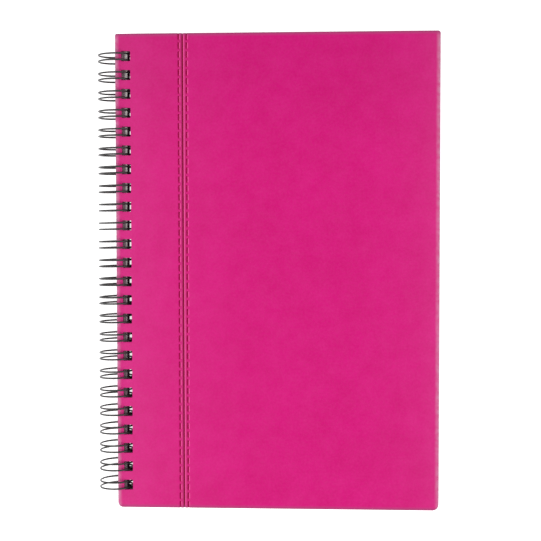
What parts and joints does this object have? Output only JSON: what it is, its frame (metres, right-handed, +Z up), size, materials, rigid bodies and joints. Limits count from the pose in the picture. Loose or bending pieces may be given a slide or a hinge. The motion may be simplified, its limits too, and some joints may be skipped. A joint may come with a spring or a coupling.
{
  "type": "wire-bound notebook",
  "caption": "Hard-cover notebook held by a black twin-loop wire, with a leatherette front cover stitched along a seam and covers and sheets that turn about the wire.",
  "frame": {"origin": "on the table, under the middle of the closed notebook's bounding box", "axes": "+X from the spine to the fore edge, +Y from the foot to the head of the covers, +Z up, out of the front cover"},
  "size_m": [0.155, 0.2154, 0.016],
  "materials": {
    "leatherette": "satin, finely grained",
    "thread": "twisted thread",
    "board": "grey board",
    "lining_paper": "smooth paper",
    "sheets": "uncoated writing paper",
    "coated_wire": "black coated steel"
  },
  "bodies": {
    "back_cover": {"back_board": "board", "back_covering": "leatherette", "back_lining": "lining_paper", "wire_binding": "coated_wire"},
    "pages": {"page_block": "sheets"},
    "front_cover": {"front_spine_panel": "leatherette", "front_main_panel": "leatherette", "spine_side_stitches": "thread", "fore_side_stitches": "thread", "front_board": "board", "front_lining": "lining_paper"}
  },
  "joints": [
    {"name": "back_cover_hinge", "type": "hinge", "parent": "back_cover", "child": "pages", "pos_m": [-0.0695, 0, 0.008], "axis": [0, -1, 0], "range_deg": [0, 181.8]},
    {"name": "front_cover_hinge", "type": "hinge", "parent": "pages", "child": "front_cover", "pos_m": [-0.0695, 0, 0.008], "axis": [0, -1, 0], "range_deg": [0, 181.8]}
  ]
}
